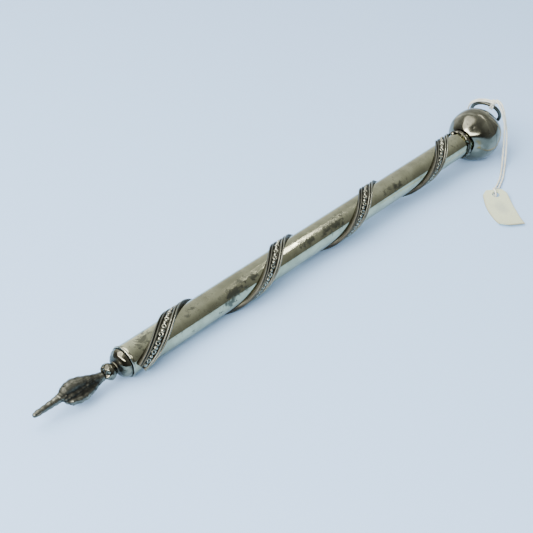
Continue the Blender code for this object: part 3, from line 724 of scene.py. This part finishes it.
def make_tag():
    rows, columns = 60, 24
    bm = bmesh.new()
    layers = []
    for lift in (0, TAG_THICK):
        grid = []
        for i in range(rows + 1):
            share = i / rows
            trim = 1.0 - 0.32 * max(0.0, 1 - share * 14 / 1.3)
            line = []
            for j in range(columns + 1):
                side = (j / columns - 0.5) * TAG_WIDTH * trim
                point = TAG_HEAD + share * TAG_LENGTH * along_tag + side * across_tag
                point -= TAG_LEAN * share**2 * across_tag
                bulge = max(0.0, 0.5 - j / columns) * 2
                point -= TAG_BULGE * bulge * sin(pi * min(1.0, share * 1.08)) * across_tag
                point -= 0.0016 * (bulge * max(0.0, (share - 0.86) / 0.14)) ** 2 * along_tag
                point.z = tag_height(share * TAG_LENGTH) + lift
                line.append(bm.verts.new(point))
            grid.append(line)
        layers.append(grid)
    low, high = layers
    for i in range(rows):
        for j in range(columns):
            for grid in layers:
                bm.faces.new((grid[i][j], grid[i + 1][j], grid[i + 1][j + 1], grid[i][j + 1]))
        for j in (0, columns):
            bm.faces.new((low[i][j], low[i + 1][j], high[i + 1][j], high[i][j]))
    for i in (0, rows):
        for j in range(columns):
            bm.faces.new((low[i][j], low[i][j + 1], high[i][j + 1], high[i][j]))
    bmesh.ops.recalc_face_normals(bm, faces=bm.faces)
    mesh = bpy.data.meshes.new("card")
    bm.to_mesh(mesh)
    bm.free()
    hole = TAG_HEAD + TAG_HOLE_INSET * along_tag
    punch_mesh = bpy.data.meshes.new("punch")
    bm = bmesh.new()
    bmesh.ops.create_cone(bm, cap_ends=True, segments=40, radius1=TAG_HOLE_RADIUS,
                          radius2=TAG_HOLE_RADIUS, depth=0.01,
                          matrix=Matrix.Translation((hole.x, hole.y, 0)))
    bm.to_mesh(punch_mesh)
    bm.free()
    card = bpy.data.objects.new("card", mesh)
    punch = bpy.data.objects.new("punch", punch_mesh)
    for obj in (card, punch):
        bpy.context.scene.collection.objects.link(obj)
    cut = card.modifiers.new("hole", "BOOLEAN")
    cut.operation = "DIFFERENCE"
    cut.solver = "EXACT"
    cut.object = punch
    bpy.context.view_layer.update()
    final = bpy.data.meshes.new_from_object(card.evaluated_get(bpy.context.evaluated_depsgraph_get()))
    for obj in (card, punch):
        bpy.data.objects.remove(obj, do_unlink=True)
    smudge, rim = [], []
    for vertex in final.vertices:
        offset = vertex.co - TAG_HEAD
        a = offset.dot(along_tag) / TAG_LENGTH
        b = offset.dot(across_tag) / TAG_WIDTH
        smudge.append(max(0.0, 1 - ((a - 0.45) / 0.22) ** 2 - ((b + 0.05) / 0.30) ** 2) * 0.5)
        # The rim values mark the far end and both long sides, where a shadow is painted along the edge.
        lean = TAG_LEAN * a**2 / TAG_WIDTH
        left = 0.5 + lean + TAG_BULGE * sin(pi * min(1.0, a * 1.08)) / TAG_WIDTH
        edge = min(1 - a, left + b, 0.5 - lean - b)
        rim.append(max(0.0, 1 - edge / 0.035) * 0.8)
    set_attribute(final, "smudge", smudge)
    set_attribute(final, "rim", rim)
    return place_mesh("card_tag", final, paper, "pointer", ["paper_tag"], sharp=30)


string_piece, string_path = make_string()
knot_piece = make_knot()
tag_piece = make_tag()

# ---------------------------------------------------------------- the cast hand
HAND_TOP = Vector((0, sin(radians(46.5)), cos(radians(46.5))))
HAND_SIDE = Vector((0, -cos(radians(46.5)), sin(radians(46.5))))


def hand_place(u, top, side):
    """A point of the hand: station, towards its back, and towards its thumb side, in mm."""
    return Vector((u, 0, 0)) + top * HAND_TOP + side * HAND_SIDE


# Chains of tapered capsules: (station, top, side, radius) in mm.
FINGER = ((-32.70, 1.05, 0.0, 0.80), (-31.4, 1.08, 0.02, 0.92), (-29.4, 1.10, 0.0, 0.98),
          (-27.4, 1.14, 0.0, 1.08), (-25.4, 1.18, 0.0, 1.18), (-23.8, 1.32, 0.0, 1.30),
          (-22.4, 1.60, 0.0, 1.40))
BACK = ((-22.4, 1.60, 0.0, 1.30), (-21.3, 1.98, 0.0, 1.82), (-19.9, 2.15, -0.1, 2.15),
        (-18.2, 2.12, -0.1, 2.27), (-16.3, 1.75, 0.0, 2.15), (-13.8, 0.98, 0.1, 1.88),
        (-11.8, 0.35, 0.1, 1.70), (-9.8, -0.05, 0.0, 1.52), (-8.5, -0.15, 0.0, 1.38))
FOLDED = (
    ((-22.5, -0.80, 0.45, 0.75), (-21.0, -1.60, 0.65, 1.10), (-18.8, -2.18, 0.72, 1.22),
     (-16.8, -2.26, 0.68, 1.22), (-14.6, -1.85, 0.55, 1.20), (-12.8, -1.25, 0.35, 1.16),
     (-10.8, -0.65, 0.15, 1.20), (-9.2, -0.35, 0.0, 1.30)),
    ((-21.9, -0.85, -0.75, 0.85), (-20.3, -1.70, -1.0, 1.15), (-17.6, -2.10, -1.0, 1.26),
     (-15.0, -1.70, -0.8, 1.22), (-12.6, -0.90, -0.4, 1.2)),
)
PALM = ((-22.3, 0.3, 0.2, 1.15), (-20.4, -0.1, 0.28, 1.48), (-18.0, -0.6, 0.28, 1.62),
        (-15.0, -0.6, 0.22, 1.58), (-12.5, -0.35, 0.1, 1.45))
THUMB = ((-16.4, 0.10, 1.50, 0.42), (-14.8, -0.02, 1.38, 0.55), (-13.0, -0.15, 1.05, 0.66))
KNUCKLES = (((-24.4, 0.75, 0.85, 0.26), (-23.2, 0.62, 1.10, 0.30), (-22.2, 0.75, 1.38, 0.30)),
            ((-23.6, 0.10, 0.65, 0.30), (-22.6, -0.10, 1.02, 0.36), (-21.6, -0.3, 1.28, 0.40)))


def soft_min(a, b, reach):
    overlap = np.maximum(reach - np.abs(a - b), 0) / reach
    return np.minimum(a, b) - overlap**2 * reach / 4


def chain_distance(points, chain):
    """Distance in mm of (station, top, side) points from a chain of tapered capsules."""
    nearest = None
    for first, second in zip(chain, chain[1:]):
        start, run = np.array(first[:3]), np.array(second[:3]) - np.array(first[:3])
        share = np.clip((points - start) @ run / (run @ run), 0, 1)
        radius = first[3] + (second[3] - first[3]) * share
        gap = np.linalg.norm(points - start - share[:, None] * run, axis=1) - radius
        nearest = gap if nearest is None else soft_min(nearest, gap, 0.5)
    return nearest


def hand_distance(points):
    body = soft_min(chain_distance(points, BACK), chain_distance(points, PALM), 0.3)
    body = soft_min(body, chain_distance(points, FINGER), 0.5)
    for chain in (*FOLDED, THUMB, *KNUCKLES):
        body = soft_min(body, chain_distance(points, chain), 0.30)
    return body


def cavity(mesh, rounds):
    """How far each vertex stands proud of the smoothed surface, along its normal, in mm."""
    count = len(mesh.vertices)
    co = np.zeros(count * 3)
    mesh.vertices.foreach_get("co", co)
    co = co.reshape(-1, 3)
    normals = np.zeros(count * 3)
    mesh.vertices.foreach_get("normal", normals)
    normals = normals.reshape(-1, 3)
    edges = np.zeros(len(mesh.edges) * 2, np.int64)
    mesh.edges.foreach_get("vertices", edges)
    edges = edges.reshape(-1, 2)
    degree = np.bincount(edges.ravel(), minlength=count)
    smooth = co.copy()
    for _ in range(rounds):
        total = np.stack([
            np.bincount(edges[:, 0], smooth[edges[:, 1], axis], count)
            + np.bincount(edges[:, 1], smooth[edges[:, 0], axis], count)
            for axis in range(3)
        ], 1)
        smooth = 0.5 * smooth + 0.5 * total / degree[:, None]
    return ((co - smooth) * normals).sum(1)


# Where the hand's marks lie, in mm: (station, half length), and for the nail also (top, half height).
FIST_SPAN = (-15.8, 7.0)
CREASE_SPAN = (-18.2, 5.2)
ROOT_FOLDS = (-24.0, 1.2)
NAIL = (-31.9, 1.05, 0.82, 0.36)
# Where the fold's painted shade lies: (station, half length).
FOLD_SHADE_SPAN = (-17.8, 7.0)


def hand_relief(u, top, side):
    """Extra height in mm on the cast hand: its nail, the folds at the finger's root, fine
    lengthwise lines and casting pits."""
    where = Vector((u, top, side))
    body = max(0.0, 1 - ((u - FIST_SPAN[0]) / FIST_SPAN[1]) ** 2)
    relief = 0.045 * noise.fractal(where * 1.7, 1.0, 2.0, 4) * (0.5 + 0.5 * body)
    relief += 0.045 * body * noise.noise(Vector((u * 0.3, top * 2.6, side * 2.6)))
    relief -= 0.12 * max(0.0, noise.noise(where * 1.9 + Vector((7, 3, 1))) - 0.42)
    if side > 0:
        crease = -0.75 + 0.10 * (u + 18)
        fade = max(0.0, 1 - ((u - CREASE_SPAN[0]) / CREASE_SPAN[1]) ** 2)
        relief -= 0.16 * fade * exp(-(((top - crease) / 0.34) ** 2))
    if u < -30.6 and side > 0:
        inside = 1 - ((u - NAIL[0]) / NAIL[1]) ** 2 - ((top - NAIL[2]) / NAIL[3]) ** 2
        relief += -0.22 * max(0.0, min(1.0, 2.2 * inside)) + 0.05 * exp(-((inside / 0.25) ** 2))
    if -25.2 < u < -22.8:
        folds = max(0.0, 1 - ((u - ROOT_FOLDS[0]) / ROOT_FOLDS[1]) ** 2)
        relief += 0.05 * folds * cos(2 * pi * (u + 0.35 * top) / 0.9)
    return relief


def hand_dark_and_fold_shade(u, top, side):
    """How dark the hand is made: light on the finger and along the lower edge, dark on the fist,
    and darkest in the fold between the back of the hand and the fingers, where it is painted shade."""
    fist = max(0.0, min(1.0, (u + 24.6) / 1.8)) * max(0.0, min(1.0, (-8.6 - u) / 2.5))
    fold = exp(-(((top + 0.9) / 1.6) ** 2)) * max(0.0, 1 - ((u - FOLD_SHADE_SPAN[0]) / FOLD_SHADE_SPAN[1]) ** 2)
    return fist * 0.52 + 0.42 * fold * (side > -1.5)


HAND_SIDES = 150


def hand_middle(u):
    """The (top, side) of a line that runs inside the hand at every station."""
    share = min(1.0, max(0.0, (u + 23.5) / 4.0))
    near_wrist = min(1.0, max(0.0, (u + 14.0) / 4.0))
    return 1.08 + (0.35 - 1.08) * share + (-0.1 - 0.35) * near_wrist, 0.0


def make_hand():
    tip = [-33.47 + 0.7 * (1 - cos(radians(90 * k / 12))) for k in range(1, 13)]
    stations = tip + [float(u) for u in np.arange(tip[-1] + 0.1, -8.55, 0.1)]
    angles = np.arange(HAND_SIDES) * 2 * pi / HAND_SIDES
    middles = np.array([hand_middle(u) for u in stations])
    starts = np.array([(u, *middle) for u, middle in zip(stations, middles)])
    origin = np.repeat(starts, HAND_SIDES, axis=0)
    ray = np.stack([np.zeros(HAND_SIDES), np.cos(angles), np.sin(angles)], 1)
    ray = np.tile(ray, (len(stations), 1))
    reach = np.full(len(origin), 5.5)
    for _ in range(34):
        reach = np.maximum(reach - 0.9 * hand_distance(origin + reach[:, None] * ray), 0.02)
    surface = origin + reach[:, None] * ray
    bm = bmesh.new()
    rings = []
    for i in range(len(stations)):
        ring = []
        for k in range(HAND_SIDES):
            at = i * HAND_SIDES + k
            relief = min(hand_relief(*map(float, surface[at])), 0.3 * reach[at])
            ring.append(bm.verts.new(hand_place(*map(float, surface[at] + ray[at] * relief))))
        rings.append(ring)
    for u, radius in ((-8.45, 1.05), (-8.4, 0.88), (1.2, 0.88)):
        rings.append([bm.verts.new(hand_place(u, radius * cos(a), radius * sin(a)))
                      for a in map(float, angles)])
    bridge(bm, rings)
    end = bm.verts.new(hand_place(-33.48, 1.06, 0))
    for k in range(HAND_SIDES):
        bm.faces.new((rings[0][k], rings[0][(k + 1) % HAND_SIDES], end))
    bm.faces.new(rings[-1])
    bmesh.ops.recalc_face_normals(bm, faces=bm.faces)
    skin = bpy.data.meshes.new("skin")
    bm.to_mesh(skin)
    bm.free()
    proud = cavity(skin, 40)
    # crown: dark in the hand's hollows, made darker over the fist and with painted shade in the fold.
    fist_dark_fold_shade = [hand_dark_and_fold_shade(v.co.x, v.co.dot(HAND_TOP), v.co.dot(HAND_SIDE)) for v in skin.vertices]
    set_attribute(skin, "crown", np.clip(0.80 + proud / 0.16 - np.array(fist_dark_fold_shade), 0, 1))
    skin.transform(ON_AXIS)
    place_mesh("cast_hand", skin, hand_silver, "pointer", ["pointing_hand"], 80)


make_hand()


# ---------------------------------------------------------------- floor, world and lights
def make_floor():
    g = Graph("floor")
    g.shader.inputs["Base Color"].default_value = (0.43, 0.645, 0.96, 1)
    g.shader.inputs["Roughness"].default_value = 0.9
    bm = bmesh.new()
    bmesh.ops.create_grid(bm, x_segments=1, y_segments=1, size=2.2)
    mesh = bpy.data.meshes.new("floor")
    bm.to_mesh(mesh)
    bm.free()
    mesh.materials.append(g.material)
    floor = bpy.data.objects.new("floor", mesh)
    bpy.context.scene.collection.objects.link(floor)


# The room's brightness by angle round the pointer's length: degrees from overhead, towards -Y.
ROOM = ((-90, 0.80), (-60, 0.66), (-30, 0.60), (-10, 0.58), (10, 0.52), (30, 0.40), (45, 0.31),
        (60, 0.25), (75, 0.21), (90, 0.20))
ROOM_TINT = (0.97, 1.0, 0.98)
# A pale wall with a slanting edge, which the tube's front shows as a light strip along its top.
WALL_SLANT = 19.1
WALL_EDGE = (7.78, 7.90)
WALL_SIDE = (0.30, 0.38)
WALL_GAIN = 0.75
# The room is dark towards the pointer's front: between these X directions, from this share up.
FRONT_SPAN = (-0.55, 0.35)
FRONT_SHARE = 0.20
ROOM_STRENGTH = 1.5


def make_world():
    """A room with one bright side and a dark front end, so that the round metal shows light and
    dark zones."""
    world = bpy.data.worlds.new("room")
    world.use_nodes = True
    bpy.context.scene.world = world
    tree = world.node_tree

    def add_math(operation, *values):
        made = tree.nodes.new("ShaderNodeMath")
        made.operation = operation
        for socket, value in zip(made.inputs, values):
            if hasattr(value, "is_output"):
                tree.links.new(value, socket)
            else:
                socket.default_value = value
        return made.outputs[0]

    def add_range(value, start, end, first=0.0, last=1.0, smooth=True):
        made = tree.nodes.new("ShaderNodeMapRange")
        made.interpolation_type = "SMOOTHSTEP" if smooth else "LINEAR"
        limits = (("From Min", start), ("From Max", end), ("To Min", first), ("To Max", last))
        for name, number in limits:
            made.inputs[name].default_value = number
        tree.links.new(value, made.inputs["Value"])
        return made.outputs["Result"]

    split = tree.nodes.new("ShaderNodeSeparateXYZ")
    tree.links.new(tree.nodes.new("ShaderNodeTexCoord").outputs["Generated"], split.inputs[0])
    along = split.outputs["X"]
    angle = add_math("ARCTAN2", add_math("MULTIPLY", split.outputs["Y"], -1), split.outputs["Z"])
    ramp = tree.nodes.new("ShaderNodeValToRGB")
    tree.links.new(add_range(angle, -pi / 2, pi / 2, smooth=False), ramp.inputs["Fac"])
    while len(ramp.color_ramp.elements) < len(ROOM):
        ramp.color_ramp.elements.new(0.5)
    for stop, (degrees, level) in zip(ramp.color_ramp.elements, ROOM):
        stop.position = (degrees + 90) / 180
        stop.color = (*(level * tint for tint in ROOM_TINT), 1)
    slant = add_math("MULTIPLY_ADD", along, WALL_SLANT, angle)
    wall = add_range(slant, *WALL_EDGE, WALL_GAIN, 0.0, smooth=False)
    gain = add_math("MULTIPLY_ADD", wall, add_range(along, *WALL_SIDE), 1.0)
    level = add_math("MULTIPLY", add_range(along, *FRONT_SPAN, FRONT_SHARE), gain)
    dim = tree.nodes.new("ShaderNodeVectorMath")
    dim.operation = "SCALE"
    tree.links.new(ramp.outputs["Color"], dim.inputs[0])
    tree.links.new(level, dim.inputs["Scale"])
    background = tree.nodes["Background"]
    tree.links.new(dim.outputs[0], background.inputs["Color"])
    background.inputs["Strength"].default_value = ROOM_STRENGTH


LIGHT_TINT = (1.0, 0.985, 0.95)
# Name, direction, direction of the long side, size (m), power (W) and the point it faces.
LIGHTS = (
    ("window", (-0.744, -0.226, 0.630), (-0.29, 0.957, 0), (1.25, 0.30), 23, (0, 0, 0)),
    ("overhead", (-0.36, 0.38, 0.85), (1, 0, 0), (1.3, 1.1), 17, (0, 0, 0)),
    ("lamp", (0.582, -0.036, 0.812), (0, 1, 0), (0.60, 0.030), 1.2, (-0.0105, -0.002, 0.012)),
)


def add_area(name, direction, long_axis, size, power, target):
    """A soft oval light a metre off in a direction, its long side near long_axis."""
    towards = Vector(direction).normalized()
    across = (Vector(long_axis) - towards * towards.dot(Vector(long_axis))).normalized()
    turn = Matrix((across, towards.cross(across), towards)).transposed()
    light = bpy.data.lights.new(name, "AREA")
    light.shape = "ELLIPSE"
    light.size, light.size_y = size
    light.energy = power
    light.color = LIGHT_TINT
    obj = bpy.data.objects.new(name, light)
    bpy.context.scene.collection.objects.link(obj)
    obj.matrix_world = Matrix.Translation(Vector(target) + towards) @ turn.to_4x4()


make_floor()
make_world()
for light_values in LIGHTS:
    add_area(*light_values)
